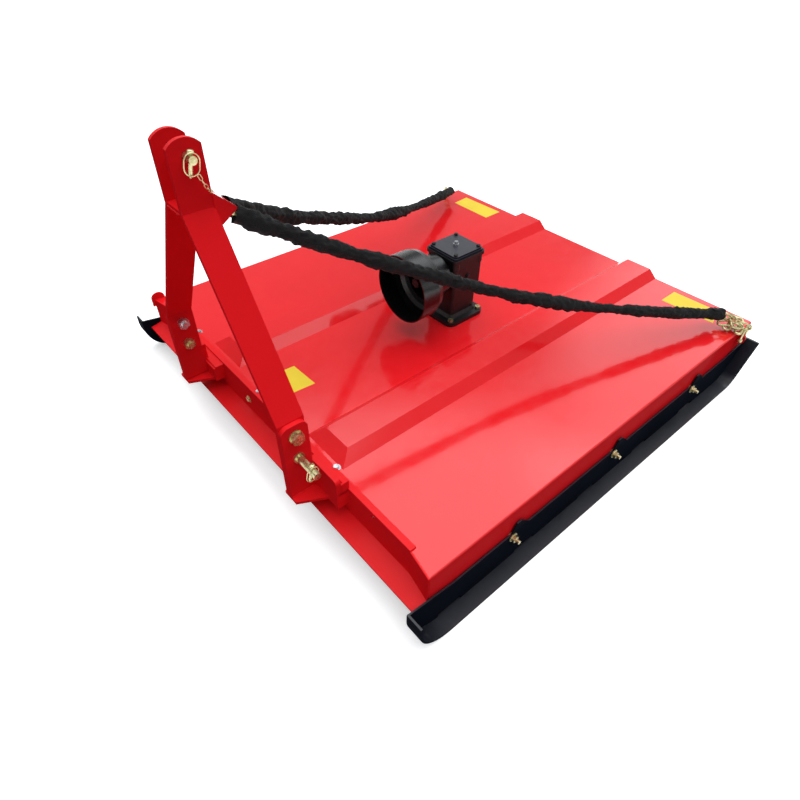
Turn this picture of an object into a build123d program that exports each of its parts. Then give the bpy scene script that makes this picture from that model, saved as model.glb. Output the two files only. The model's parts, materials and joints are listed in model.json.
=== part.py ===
from build123d import *
from math import cos, radians, sin, tan
import os

# Rotary cutter (topper mower) for a three-point hitch.
# Frame: X across the machine, the hitch faces -Y, +Z up, ground at z = 0,
# the origin on the ground below the middle of the machine's box.
# All sizes are in millimetres. Places along Y are given from the origin.

# Deck: a folded sheet with two raised ribs
deck_half_width = 792.0
deck_front = 775.0
deck_rear = 879.0
deck_top = 227.0
deck_sheet = 4.0
wall_depth = 139.0
fold_radius = 6.0
rib_middle = 294.0
rib_foot_width = 179.0
rib_top_width = 107.0
rib_height = 30.0
rib_front_gap = 27.0
rib_front_slope = 45.0
rib_sheet_inset = 1.4
rear_lip_depth = 24.0

# Front beam: its ends sweep forward, a flange lies on the deck and an apron hangs below
beam_sheet = 5.0
beam_end_run = 86.0
beam_end_sweep = 17.0
beam_bend_radius = 60.0
beam_flange = 20.0
apron_crease_drop = 99.0
apron_reach = 60.0
apron_drop = 13.0
beam_hole_diameter = 14.0
beam_hole_place = 556.0
beam_hole_drop = 15.0

# Gearbox seat and cross members under the deck
seat_plate = 8.0
seat_half = 160.0
seat_corner = 14.0
shaft_opening_radius = 50.0
cross_depth = 36.0
cross_width = 60.0
cross_sheet = 4.0
cross_places = [-330.0, 470.0]

# Hitch brackets: the foot hangs below the deck's top, other heights rise from the ear's foot
ear_outer_face = 341.5
ear_plate = 15.0
ear_width = 80.0
ear_stand_off = 37.0
ear_foot_drop = 47.0
ear_height = 260.0
ear_round = 24.0
back_plate = 8.0
back_lip = 15.0
back_outer_reach = 108.0
back_inner_reach = 68.0
back_outer_height = 102.0
back_inner_height = 42.0
back_corner = 14.0
foot_plate = 10.0
foot_front_reach = 20.0
foot_back_outer = 62.0
foot_back_inner = 56.0

# Mast of two flat bars: the bend and the corners are given down from its top
mast_top = 1060.0
bar_width = 80.0
bar_thickness = 12.0
clevis_gap = 66.0
clevis_depth = 163.0
mast_corner_drop = 18.0
bar_foot_lift = 4.0
mast_spacer_plate = 10.0

# Hitch pins and bolts: a round shank with hexagons this many times as wide over their flats
hexagon_ratio = 1.6
hole_clearance = 0.5
mast_pin_drop = 38.0
mast_pin_diameter = 19.0
mast_pin_head = 14.0
mast_pin_stick = 35.0
mast_lynch_inset = 14.0
hitch_pin_rise = 143.0
hitch_pin_diameter = 22.0
hitch_pin_stick = 88.5
hitch_lynch_inset = 28.0
pin_collar = 6.0
pin_collar_diameter = 34.0
mast_bolt_rise = 223.0
mast_bolt_diameter = 20.0
mast_bolt_head = 16.0
mast_bolt_washer = 4.0
mast_bolt_nut = 18.0
mast_bolt_spare = 6.0

# Lynch pins with their rings
lynch_lean = 12.0
lynch_diameter = 10.0
lynch_head_diameter = 17.0
lynch_head_height = 10.0
lynch_head_bevel = 3.0
lynch_tail = 30.0
ring_bar = 4.0
ring_bend = 18.0
ring_straight = 9.0

# Chain bracket behind the mast's bend: heights are given from the bend
hood_plate = 6.0
hood_reach = 53.0
hood_front_rise = 36.0
hood_tip_drop = 11.0
hood_cheek_reach = 12.0
hood_cheek_drop = 44.0
hood_foot_drop = 48.0
hood_pin_diameter = 12.0
hood_pin_reach = 15.0
hood_pin_drop = 13.0

# Skids: an upright web beside the deck's wall and a sole that curls up at both ends
skid_gap = 4.0
skid_web = 5.0
sole_width = 52.0
sole_plate = 6.0
skid_front_reach = 93.0
skid_rear_reach = 18.0
skid_tip_height = 150.0
tip_rise_length = 160.0
nose_radius = 120.0
tail_radius = 80.0
tail_slope = 52.0
slot_pitch = 306.0
slot_length = 86.0
slot_height = 14.0
slot_count = 6
slot_middle = 50.0
lug_pitch = 486.0
lug_middle = 7.0
lug_height = 38.0
lug_front_run = 16.0
lug_flat = 20.0
lug_rear_run = 40.0
lug_lead = 6.0
lug_crown = 14.0
skid_bolt_rise = 24.0
skid_bolt_diameter = 12.0
skid_bolt_stick = 25.0
skid_head = 8.0
skid_nut = 10.0
skid_washer = 3.0
skid_washer_diameter = 30.0

# Gearbox: heights are given from the deck's top
gearbox_place = 50.0
base_half = 91.0
base_plate = 16.0
base_corner = 30.0
base_bolt_place = 72.0
base_bolt_diameter = 12.0
base_bolt_head = 8.0
base_nut = 10.0
base_bolt_spare = 4.0
neck_half = 61.0
neck_corner = 10.0
neck_flare = 7.0
neck_flare_height = 14.0
body_half = 70.0
body_rise = 125.0
body_corner = 12.0
boss_radius = 17.0
boss_height = 30.0
flange_half = 77.0
flange_plate = 12.0
flange_corner = 16.0
cover_half = 71.0
cover_plate = 12.0
cover_step = 4.0
cover_top_rise = 272.0
screw_place = 56.0
screw_diameter = 8.0
screw_head = 6.0
plug_diameter = 12.0
plug_hexagon_height = 7.0
plug_cap_diameter = 14.0
plug_cap_height = 8.0
shaft_rise = 189.0
bearing_boss_radius = 60.0
bearing_boss_reach = 18.0
bearing_cap_radius = 52.0
bearing_cap_reach = 8.0

# Shield round the input shaft: a stepped bell that stands on the bearing's boss
shield_wall = 4.0
shield_clearance = 0.3
# Its outside from the rim to the neck: reach from the gearbox's middle, and radius
shield_corners = [
    (255.0, 121.0),
    (185.0, 120.0),
    (165.0, 114.0),
    (153.0, 100.0),
    (150.0, 82.0),
]
shield_neck_radius = 73.0

# Input shaft
pto_diameter = 35.0
pto_tip_reach = 190.0
pto_inner_end = 4.0
spline_count = 6
spline_depth = 2.6
spline_groove = 8.0
spline_gap = 8.0
shaft_clearance = 0.4

# Rotor, carrier and blades
output_diameter = 40.0
output_rise = 73.0
output_end_gap = 1.0
hub_radius = 46.0
hub_gap = 12.0
carrier_drop = 111.0
carrier_plate = 16.0
carrier_half_width = 55.0
carrier_disc_radius = 121.0
pivot_radius = 500.0
pivot_diameter = 24.0
pivot_head = 12.0
pivot_head_diameter = 44.0
pivot_nut = 18.0
pivot_clearance = 0.3
blade_plate = 8.0
blade_gap = 1.0
blade_reach = 245.0
blade_half_width = 38.0
blade_heel = 44.0
blade_bevel = 6.0

# Chains: bare links at both ends of a sleeve, a lug and a shackle on each side wall
sleeve_diameter = 40.0
sleeve_wall = 2.5
chain_wire = 8.5
chain_link_inside = 40.0
chain_link_width = 13.0
chain_gap = 1.0
chain_pin_place = 10.0
top_links = 2
foot_links = 3
foot_outset = 5.0
lug_inset = 79.0
lug_plate = 8.0
lug_reach = 24.0
lug_tall = 34.0
lug_round = 8.0
shackle_stand = 13.0
shackle_drop = 35.0
shackle_rise = 13.0
shackle_bar = 9.0
shackle_pin = 10.0
shackle_eye = 17.0
shackle_pin_spare = 4.5
shackle_inside = 24.0
shackle_slack = 3.6
# Sleeve's route on the right: X, Y and Z of each point
sleeve_points = [
    (27.0, -765.0, 862.0),
    (119.0, -560.0, 743.0),
    (222.0, -333.0, 635.0),
    (371.0, -7.0, 484.0),
    (560.0, 405.0, 356.0),
    (714.0, 744.0, 281.0),
]

# Each of the route's bends takes this share of the shorter run beside it
bend_share = 0.45

# Bent bars are drawn with flats this many degrees apart and eight-sided sections
flat_step = 45.0
bar_bevel = (1 - tan(radians(flat_step / 2))) / 2


def cross_plane(at_y):
    """A plane across the machine: sketch x is X, sketch y is up, it faces the hitch."""
    return Plane(origin=(0, at_y, 0), x_dir=(1, 0, 0), z_dir=(0, -1, 0))


def side_plane(at_x):
    """A plane along the machine: sketch x is Y, sketch y is up, it faces +X."""
    return Plane(origin=(at_x, 0, 0), x_dir=(0, 1, 0), z_dir=(1, 0, 0))


def save(part, label):
    """Label a finished piece and write it out."""
    part.label = label
    export_step(part, "parts/" + label + ".step")


def rod(start, end, diameter):
    """A round bar from one point to another."""
    along = Vector(*end) - Vector(*start)
    with BuildPart(mode=Mode.PRIVATE) as one:
        with BuildSketch(Plane(origin=start, z_dir=along)):
            Circle(diameter / 2)
        extrude(amount=along.length)
    return one.part


def hexagon(start, end, bolt_diameter):
    """A bolt's head or nut from one point to another along the bolt."""
    along = Vector(*end) - Vector(*start)
    with BuildPart(mode=Mode.PRIVATE) as one:
        with BuildSketch(Plane(origin=start, z_dir=along)):
            RegularPolygon(bolt_diameter * hexagon_ratio / 2, 6, major_radius=False)
        extrude(amount=along.length)
    return one.part


def bend_corners(middle, reach, first, count):
    """Corners of a bend with flat faces at a reach from its middle on the sketch's x."""
    radius = reach / cos(radians(flat_step / 2))
    angles = [radians(first + flat_step * i) for i in range(count)]
    return [(middle + radius * cos(angle), radius * sin(angle)) for angle in angles]


def oval_corners(straight, reach):
    """Corners of a closed oval: two straight runs and two bends with flat faces."""
    turn = 1.5 * flat_step
    return bend_corners(straight, reach, -turn, 4) + bend_corners(-straight, reach, 180 - turn, 4)


def bent_bar(plane, outer, inner, bar):
    """A bar between two outlines on a plane, its edges bevelled to an eight-sided section."""
    with BuildPart(mode=Mode.PRIVATE) as one:
        with BuildSketch():
            Polygon(*outer, align=None)
            Polygon(*inner, align=None, mode=Mode.SUBTRACT)
        extrude(amount=bar / 2, both=True)
        faces = one.faces().sort_by(Axis.Z)
        chamfer(faces[0].edges() + faces[-1].edges(), bar * bar_bevel)
    return one.part.moved(Location(plane))


def oval_ring(plane, straight, bend, bar):
    """A ring of bar, from the middle of its oval to the middle of the bar."""
    return bent_bar(
        plane, oval_corners(straight, bend + bar / 2), oval_corners(straight, bend - bar / 2), bar
    )


os.makedirs("parts", exist_ok=True)
SIDES = [("right", 1), ("left", -1)]

# Places worked out from the sizes above
deck_under = deck_top - deck_sheet
wall_bottom = deck_top - wall_depth
wall_inner = deck_half_width - deck_sheet
beam_half_length = deck_half_width - beam_end_run
beam_slope = beam_end_sweep / beam_end_run
beam_face = -deck_front - beam_sheet
beam_hole_height = deck_top - beam_hole_drop
crease_height = deck_top - apron_crease_drop
ear_back = beam_face - ear_stand_off
ear_front = ear_back - ear_width
ear_middle = ear_back - ear_width / 2
ear_inner_face = ear_outer_face - ear_plate
ear_foot = deck_top - ear_foot_drop
ear_top = ear_foot + ear_height
mast_bolt_height = ear_foot + mast_bolt_rise
hitch_pin_height = ear_foot + hitch_pin_rise
mast_pin_height = mast_top - mast_pin_drop
mast_bend = mast_top - clevis_depth
bar_top_x = clevis_gap / 2
bar_foot_x = ear_inner_face - bar_thickness
mast_half = bar_top_x + bar_thickness
hood_pin_y = ear_back + hood_pin_reach
hood_pin_height = mast_bend - hood_pin_drop
web_inner = deck_half_width + skid_gap
web_outer = web_inner + skid_web
skid_front = -deck_front - skid_front_reach
skid_rear = deck_rear + skid_rear_reach
skid_bolt_height = wall_bottom + skid_bolt_rise
web_top = skid_bolt_height + lug_crown
lug_places = [lug_middle + lug_pitch * i for i in (-1, 0, 1)]
base_top = deck_top + base_plate
cover_top = deck_top + cover_top_rise
cover_bottom = cover_top - cover_plate
shaft_height = deck_top + shaft_rise
body_bottom = deck_top + body_rise
bearing_boss_end = body_half + bearing_boss_reach
bearing_cap_end = bearing_boss_end + bearing_cap_reach
base_bolts = [(x, gearbox_place + y) for x in (-base_bolt_place, base_bolt_place)
              for y in (-base_bolt_place, base_bolt_place)]
cover_bolts = [(x, gearbox_place + y) for x in (-screw_place, screw_place)
               for y in (-screw_place, screw_place)]
carrier_top = deck_top - carrier_drop
carrier_bottom = carrier_top - carrier_plate
blade_top = carrier_bottom - blade_gap
blade_bottom = blade_top - blade_plate
lug_place = deck_rear - lug_inset
shackle_x = deck_half_width + shackle_stand
shackle_foot = deck_top - shackle_drop
shackle_top = deck_top + shackle_rise

# Deck: top sheet, side walls, two hollow ribs with sloping front ends and the rear lip
# Rib forms: lift and shrink of the outside, then of the hollow below it
rib_forms = [(0, 0, Mode.ADD), (-deck_sheet, rib_sheet_inset, Mode.SUBTRACT)]
wing_front = -deck_front - beam_end_sweep
with BuildPart() as deck:
    with BuildSketch(Plane.XY.offset(deck_top)):
        Polygon(
            (-beam_half_length, -deck_front),
            (beam_half_length, -deck_front),
            (deck_half_width, wing_front),
            (deck_half_width, deck_rear),
            (-deck_half_width, deck_rear),
            (-deck_half_width, wing_front),
            align=None,
        )
    extrude(amount=-deck_sheet)
    for side in (-1, 1):
        with BuildSketch(side_plane(side * deck_half_width)):
            Polygon(
                (-deck_front, wall_bottom),
                (deck_rear, wall_bottom),
                (deck_rear, deck_top),
                (wing_front + beam_slope * deck_sheet, deck_top),
                (wing_front + beam_slope * deck_sheet, crease_height),
                (-deck_front, crease_height),
                align=None,
            )
            with Locations(*[(place, skid_bolt_height) for place in lug_places]):
                Circle(skid_bolt_diameter / 2 + hole_clearance, mode=Mode.SUBTRACT)
        extrude(amount=-side * deck_sheet)
    fillet(deck.edges().filter_by(Axis.Y).group_by(Axis.Z)[-1], fold_radius)
    with BuildSketch(cross_plane(deck_rear)):
        with Locations((0, deck_under)):
            Rectangle(2 * wall_inner, rear_lip_depth, align=(Align.CENTER, Align.MAX))
    extrude(amount=deck_sheet)
    for lift, shrink, mode in rib_forms:
        for side in (-1, 1):
            with BuildSketch(Plane.XY.offset(deck_top + lift)):
                with Locations((side * rib_middle, deck_rear)):
                    Rectangle(
                        rib_foot_width - 2 * shrink,
                        deck_rear + deck_front - rib_front_gap - shrink,
                        align=(Align.CENTER, Align.MAX),
                    )
            with BuildSketch(Plane.XY.offset(deck_top + lift + rib_height)):
                with Locations((side * rib_middle, deck_rear)):
                    Rectangle(
                        rib_top_width - 2 * shrink,
                        deck_rear + deck_front - rib_front_gap - rib_front_slope - shrink,
                        align=(Align.CENTER, Align.MAX),
                    )
            loft(mode=mode)
    with BuildSketch(Plane.XY.offset(deck_under)):
        with Locations((0, gearbox_place)):
            Circle(shaft_opening_radius)
        with Locations(*base_bolts):
            Circle(base_bolt_diameter / 2 + hole_clearance)
    extrude(amount=deck_sheet, mode=Mode.SUBTRACT)
save(deck.part, "deck")

# Front beam: one bent plate, the flange on the deck and the apron
wing_face = beam_face - beam_end_sweep
beam_outside = [
    (-deck_half_width, wing_face),
    (-beam_half_length, beam_face),
    (beam_half_length, beam_face),
    (deck_half_width, wing_face),
]
beam_inside = [(x, y + beam_sheet) for x, y in reversed(beam_outside)]
with BuildPart() as front_beam:
    with BuildSketch(Plane.XY.offset(crease_height - beam_sheet)) as plan:
        Polygon(*beam_outside, *beam_inside, align=None)
        bends = plan.vertices().group_by(Axis.X)
        fillet(bends[1] + bends[2], beam_bend_radius)
    extrude(amount=apron_crease_drop + beam_sheet)
    with BuildSketch(Plane.XY.offset(deck_top)):
        with Locations((0, beam_face)):
            Rectangle(2 * beam_half_length, beam_flange, align=(Align.CENTER, Align.MIN))
    extrude(amount=beam_sheet)
    with BuildSketch(side_plane(-deck_half_width)):
        Polygon(
            (beam_face + beam_sheet, crease_height),
            (beam_face, crease_height),
            (beam_face - apron_reach, crease_height - apron_drop),
            (beam_face - apron_reach, crease_height - apron_drop - beam_sheet),
            (beam_face + beam_sheet, crease_height - beam_sheet),
            align=None,
        )
    extrude(amount=2 * deck_half_width)
    with BuildSketch(cross_plane(-deck_front)):
        with Locations((-beam_hole_place, beam_hole_height), (beam_hole_place, beam_hole_height)):
            Circle(beam_hole_diameter / 2)
    extrude(amount=beam_sheet, mode=Mode.SUBTRACT)
save(front_beam.part, "front_beam")

# Seat under the gearbox and channels across the underside
with BuildPart() as gearbox_seat:
    with BuildSketch(Plane.XY.offset(deck_under - seat_plate)):
        with Locations((0, gearbox_place)):
            RectangleRounded(2 * seat_half, 2 * seat_half, seat_corner)
            Circle(shaft_opening_radius, mode=Mode.SUBTRACT)
        with Locations(*base_bolts):
            Circle(base_bolt_diameter / 2 + hole_clearance, mode=Mode.SUBTRACT)
    extrude(amount=seat_plate)
save(gearbox_seat.part, "gearbox_seat")

for label, place in zip(("cross_channel_front", "cross_channel_rear"), cross_places):
    with BuildPart() as channel:
        with BuildSketch(side_plane(-wall_inner)):
            with Locations((place, deck_under)):
                Rectangle(cross_width, cross_depth, align=(Align.CENTER, Align.MAX))
                Rectangle(
                    cross_width - 2 * cross_sheet,
                    cross_depth - cross_sheet,
                    align=(Align.CENTER, Align.MAX),
                    mode=Mode.SUBTRACT,
                )
        extrude(amount=2 * wall_inner)
    save(channel.part, label)

# Hitch brackets: an ear, a lipped back plate that stands off the beam and a foot plate
back_outer_x = ear_outer_face + back_outer_reach
back_inner_x = ear_inner_face - back_inner_reach
back_foot = ear_foot - foot_plate
back_outer_top = ear_foot + back_outer_height
back_inner_top = ear_foot + back_inner_height
# Back plate forms: front and depth of the outside, then of the hollow behind it, and its shrink
back_forms = [
    (ear_back, back_lip, 0, Mode.ADD),
    (ear_back + back_plate, back_lip - back_plate, back_plate, Mode.SUBTRACT),
]
for label, side in SIDES:
    with BuildPart() as bracket:
        for start, depth, shrink, mode in back_forms:
            with BuildSketch(cross_plane(start)) as back:
                Polygon(
                    (side * (back_outer_x - shrink), back_foot + shrink),
                    (side * (back_outer_x - shrink), back_outer_top - shrink),
                    (side * (ear_inner_face + shrink), back_outer_top - shrink),
                    (side * (ear_inner_face + shrink), back_inner_top - shrink),
                    (side * (back_inner_x + shrink), back_inner_top - shrink),
                    (side * (back_inner_x + shrink), back_foot + shrink),
                    align=None,
                )
                top_corners = back.vertices().group_by(Axis.Y)[-1].sort_by(Axis.X)
                fillet(top_corners[-1] if side > 0 else top_corners[0], back_corner - shrink)
            extrude(amount=-depth, mode=mode)
        with BuildSketch(Plane.XY.offset(back_foot)):
            for edge_x in (back_outer_x - back_plate / 2, back_inner_x + back_plate / 2):
                with Locations((side * edge_x, beam_face)):
                    Rectangle(back_plate, ear_stand_off - back_lip, align=(Align.CENTER, Align.MAX))
        extrude(amount=back_inner_top - back_foot)
        with BuildSketch(side_plane(side * ear_outer_face)) as ear:
            with Locations((ear_front, ear_foot)):
                Rectangle(ear_width, ear_height, align=(Align.MIN, Align.MIN))
            fillet(ear.vertices().group_by(Axis.Y)[-1], ear_round)
            with Locations((ear_middle, mast_bolt_height), (ear_middle, hitch_pin_height)):
                Circle(mast_bolt_diameter / 2 + hole_clearance, mode=Mode.SUBTRACT)
        extrude(amount=-side * ear_plate)
        with BuildSketch(Plane.XY.offset(back_foot)):
            Polygon(
                (side * (ear_outer_face + foot_front_reach), ear_front),
                (side * (ear_outer_face + foot_back_outer), ear_back),
                (side * (ear_inner_face - foot_back_inner), ear_back),
                (side * (ear_inner_face - foot_front_reach), ear_front),
                align=None,
            )
        extrude(amount=foot_plate)
    save(bracket.part, "hitch_bracket_" + label)

# Mast bars: flat bar folded outwards below the clevis and upright again at the foot
corner_arc_radius = (mast_corner_drop**2 + (bar_width / 2) ** 2) / (2 * mast_corner_drop)
for label, side in SIDES:
    with BuildPart() as bar:
        with BuildSketch(cross_plane(ear_front)):
            with BuildLine():
                Polyline(
                    (side * bar_top_x, mast_top),
                    (side * bar_top_x, mast_bend),
                    (side * bar_foot_x, ear_top),
                    (side * bar_foot_x, ear_foot + bar_foot_lift),
                )
                offset(
                    amount=bar_thickness,
                    side=Side.LEFT if side > 0 else Side.RIGHT,
                    kind=Kind.INTERSECTION,
                )
            make_face()
        extrude(amount=-bar_width)
        with BuildSketch(side_plane(0)):
            with Locations((ear_middle, mast_top - mast_corner_drop)):
                Rectangle(2 * bar_width, 2 * mast_corner_drop, align=(Align.CENTER, Align.MIN))
            with Locations((ear_middle, mast_top - corner_arc_radius)):
                Circle(corner_arc_radius, mode=Mode.SUBTRACT)
        extrude(amount=side * clevis_gap, mode=Mode.SUBTRACT)
        with BuildSketch(side_plane(side * bar_top_x)):
            with Locations((ear_middle, mast_pin_height)):
                Circle(mast_pin_diameter / 2 + hole_clearance)
        extrude(amount=side * bar_thickness, mode=Mode.SUBTRACT)
        with BuildSketch(side_plane(side * bar_foot_x)):
            with Locations((ear_middle, mast_bolt_height), (ear_middle, hitch_pin_height)):
                Circle(mast_bolt_diameter / 2 + hole_clearance)
        extrude(amount=side * bar_thickness, mode=Mode.SUBTRACT)
    save(bar.part, "mast_bar_" + label)

with BuildPart() as mast_spacer:
    with BuildSketch(Plane.XY.offset(mast_bend)):
        with Locations((0, ear_middle)):
            Rectangle(clevis_gap, bar_width)
    extrude(amount=mast_spacer_plate)
save(mast_spacer.part, "mast_spacer")

# Chain bracket: a sloping hood with two cheeks, welded to the rear edges of the bars
hood_front_top = mast_bend + hood_front_rise
hood_tip_y = ear_back + hood_reach
hood_tip_top = mast_bend - hood_tip_drop
hood_foot = mast_bend - hood_foot_drop
with BuildPart() as chain_bracket:
    with BuildSketch(side_plane(-mast_half)):
        Polygon(
            (ear_back, hood_front_top),
            (hood_tip_y, hood_tip_top),
            (hood_tip_y, hood_tip_top - hood_plate),
            (ear_back + hood_cheek_reach, mast_bend - hood_cheek_drop),
            (ear_back, hood_foot),
            align=None,
        )
    extrude(amount=2 * mast_half)
    with BuildSketch(side_plane(hood_plate - mast_half)):
        Polygon(
            (ear_back, hood_front_top - hood_plate),
            (hood_tip_y, hood_tip_top - hood_plate),
            (hood_tip_y, hood_foot),
            (ear_back, hood_foot),
            align=None,
        )
    extrude(amount=2 * (mast_half - hood_plate), mode=Mode.SUBTRACT)
save(chain_bracket.part, "chain_bracket")

with BuildPart() as chain_pin:
    pin_half = mast_half - hood_plate
    add(rod((-pin_half, hood_pin_y, hood_pin_height), (pin_half, hood_pin_y, hood_pin_height), hood_pin_diameter))
save(chain_pin.part, "chain_pin")

# Lynch pins: a leaning pin with a round head, and a ring that snaps round the main pin
lynch_up = Vector(0, sin(radians(lynch_lean)), cos(radians(lynch_lean)))


def lynch_pin(x, height, pin_diameter, outward, label):
    """A lynch pin through a main pin; its ring stands on the outward side."""
    middle = Vector(x, ear_middle, height)
    head_foot = middle + lynch_up * (pin_diameter / 2)
    ring_stand = Vector(outward * (lynch_diameter + ring_bar) / 2, 0, 0)
    ring_middle = head_foot + lynch_up * (lynch_head_height / 2 - ring_bend - ring_straight) + ring_stand
    with BuildPart() as pin:
        add(rod(head_foot, head_foot + lynch_up * lynch_head_height, lynch_head_diameter))
        chamfer(pin.edges().group_by(Axis.Z)[-1], lynch_head_bevel)
        add(rod(head_foot, middle - lynch_up * (pin_diameter / 2 + lynch_tail), lynch_diameter))
        ring_plane = Plane(origin=ring_middle, x_dir=lynch_up, z_dir=(1, 0, 0))
        add(oval_ring(ring_plane, ring_straight, ring_bend, ring_bar))
    save(pin.part, label)


def lynch_bore(x, height, pin_diameter):
    """The hole for a lynch pin across a main pin."""
    middle = Vector(x, ear_middle, height)
    reach = lynch_up * pin_diameter
    return rod(middle - reach, middle + reach, lynch_diameter + 2 * hole_clearance)


# Top-link pin with its head on the left, and its lynch pin
with BuildPart() as top_link_pin:
    pin_end = mast_half + mast_pin_stick
    head_start = (-mast_half - mast_pin_head, ear_middle, mast_pin_height)
    head_end = (-mast_half, ear_middle, mast_pin_height)
    add(rod(head_start, head_end, pin_collar_diameter))
    add(rod(head_end, (pin_end, ear_middle, mast_pin_height), mast_pin_diameter))
    add(lynch_bore(pin_end - mast_lynch_inset, mast_pin_height, mast_pin_diameter), mode=Mode.SUBTRACT)
save(top_link_pin.part, "top_link_pin")
lynch_pin(pin_end - mast_lynch_inset, mast_pin_height, mast_pin_diameter, 1, "lynch_pin_top")

# Hitch pins with their lynch pins, and the bolts above them; lengths run outwards from x = 0
for label, side in SIDES:
    def at(x, height):
        """A point on the hitch line on this side."""
        return (side * x, ear_middle, height)

    pin_end = ear_outer_face + hitch_pin_stick
    shank_start = bar_foot_x - mast_bolt_nut - mast_bolt_spare
    with BuildPart() as hitch_pin:
        add(rod(at(shank_start, hitch_pin_height), at(ear_outer_face, hitch_pin_height), mast_bolt_diameter))
        add(hexagon(at(bar_foot_x - mast_bolt_nut, hitch_pin_height), at(bar_foot_x, hitch_pin_height),
                    mast_bolt_diameter))
        add(rod(at(ear_outer_face, hitch_pin_height), at(ear_outer_face + pin_collar, hitch_pin_height),
                pin_collar_diameter))
        add(rod(at(ear_outer_face, hitch_pin_height), at(pin_end, hitch_pin_height), hitch_pin_diameter))
        add(lynch_bore(side * (pin_end - hitch_lynch_inset), hitch_pin_height, hitch_pin_diameter),
            mode=Mode.SUBTRACT)
    save(hitch_pin.part, "hitch_pin_" + label)
    lynch_pin(side * (pin_end - hitch_lynch_inset), hitch_pin_height, hitch_pin_diameter, side,
              "lynch_pin_" + label)

    head_start = ear_outer_face + mast_bolt_washer
    with BuildPart() as mast_bolt:
        add(rod(at(shank_start, mast_bolt_height), at(ear_outer_face, mast_bolt_height), mast_bolt_diameter))
        add(hexagon(at(bar_foot_x - mast_bolt_nut, mast_bolt_height), at(bar_foot_x, mast_bolt_height),
                    mast_bolt_diameter))
        add(rod(at(ear_outer_face, mast_bolt_height), at(head_start, mast_bolt_height),
                2 * mast_bolt_diameter))
        add(hexagon(at(head_start, mast_bolt_height), at(head_start + mast_bolt_head, mast_bolt_height),
                    mast_bolt_diameter))
    save(mast_bolt.part, "mast_bolt_" + label)

# Skids: where the tail's arc ends and its straight begins
tail_angle = radians(tail_slope)
tail_arc_run = tail_radius * sin(tail_angle)
tail_arc_rise = tail_radius * (1 - cos(tail_angle))
tail_start = skid_rear - tail_arc_run - (skid_tip_height - tail_arc_rise) / tan(tail_angle)


def sole_line(lift):
    """The sole's line from nose to tail, lifted inwards; gives its two ends."""
    nose = Line((skid_front + lift, skid_tip_height), (skid_front + lift, nose_radius))
    CenterArc((skid_front + nose_radius, nose_radius), nose_radius - lift, 180, 90)
    Line((skid_front + nose_radius, lift), (tail_start, lift))
    curl = CenterArc((tail_start, tail_radius), tail_radius - lift, 270, tail_slope)
    rest = (skid_tip_height - (curl @ 1).Y) / tan(tail_angle)
    tail = Line(curl @ 1, ((curl @ 1).X + rest, skid_tip_height))
    return nose @ 0, tail @ 1


# Web's top line between the tips: a low edge with a lug at each bolt
web_line = [(skid_front + tip_rise_length, web_top)]
for place in lug_places:
    start = place - lug_lead
    web_line.append((start, web_top))
    web_line.append((start + lug_front_run, web_top + lug_height))
    web_line.append((start + lug_front_run + lug_flat, web_top + lug_height))
    web_line.append((start + lug_front_run + lug_flat + lug_rear_run, web_top))
web_line.append((skid_rear - tip_rise_length, web_top))
slot_places = [slot_middle + slot_pitch * (i - (slot_count - 1) / 2) for i in range(slot_count)]

for label, side in SIDES:
    with BuildPart() as skid:
        with BuildSketch(side_plane(side * web_inner)):
            with BuildLine():
                Line(*sole_line(0))
            make_face()
            with BuildLine():
                Line(*sole_line(sole_plate))
            make_face(mode=Mode.SUBTRACT)
        extrude(amount=side * sole_width)
        with BuildSketch(side_plane(side * web_inner)):
            with BuildLine():
                nose_tip, tail_tip = sole_line(0)
                Polyline(nose_tip, *web_line, tail_tip)
            make_face()
            with Locations(*[(place, skid_bolt_height) for place in lug_places]):
                Circle(skid_bolt_diameter / 2 + hole_clearance, mode=Mode.SUBTRACT)
            with Locations(*[(place, sole_plate) for place in slot_places]):
                Rectangle(slot_length, slot_height, align=(Align.CENTER, Align.MIN), mode=Mode.SUBTRACT)
        extrude(amount=side * skid_web)
    save(skid.part, "skid_" + label)

    # Each bolt, outwards: hexagon inside the wall, spacer in the gap, washer and nut on the web
    nut_start = web_outer + skid_washer
    with BuildPart() as skid_bolts:
        for place in lug_places:
            def at_bolt(x):
                """A point on this bolt's axis."""
                return (side * x, place, skid_bolt_height)

            add(rod(at_bolt(wall_inner), at_bolt(web_outer + skid_bolt_stick), skid_bolt_diameter))
            add(hexagon(at_bolt(wall_inner - skid_head), at_bolt(wall_inner), skid_bolt_diameter))
            add(rod(at_bolt(deck_half_width), at_bolt(web_inner), 2 * skid_bolt_diameter))
            add(rod(at_bolt(web_outer), at_bolt(nut_start), skid_washer_diameter))
            add(hexagon(at_bolt(nut_start), at_bolt(nut_start + skid_nut), skid_bolt_diameter))
    save(skid_bolts.part, "skid_bolts_" + label)

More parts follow.
